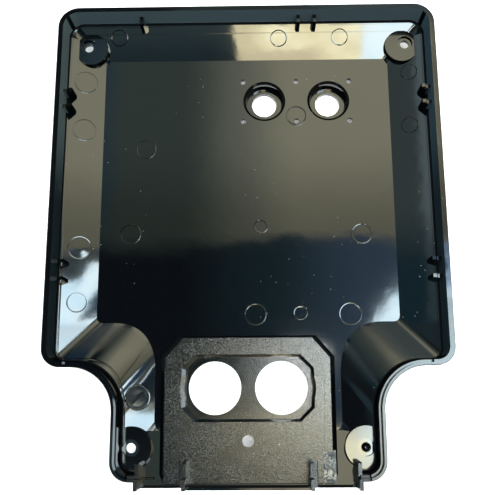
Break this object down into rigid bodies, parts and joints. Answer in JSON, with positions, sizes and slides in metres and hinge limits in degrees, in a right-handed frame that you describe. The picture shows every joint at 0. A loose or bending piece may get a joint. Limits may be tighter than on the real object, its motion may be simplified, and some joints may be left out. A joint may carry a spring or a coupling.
{
  "type": "injection moulded housing back shell",
  "caption": "Shallow moulded back shell for a wall-mounted electrical unit, with a stepped rim, sloped sides and a narrow cable-entry end with gland openings.",
  "frame": {"origin": "middle of the plan at the level of the flat outer bosses the shell rests on", "axes": "+X across the shell, +Y towards the wide end, +Z out of the open side"},
  "size_m": [0.24, 0.2986, 0.033],
  "materials": {
    "housing": "high-gloss black moulding, spark-textured on the raised platform"
  },
  "bodies": {
    "root": {"housing": "housing"}
  },
  "joints": []
}
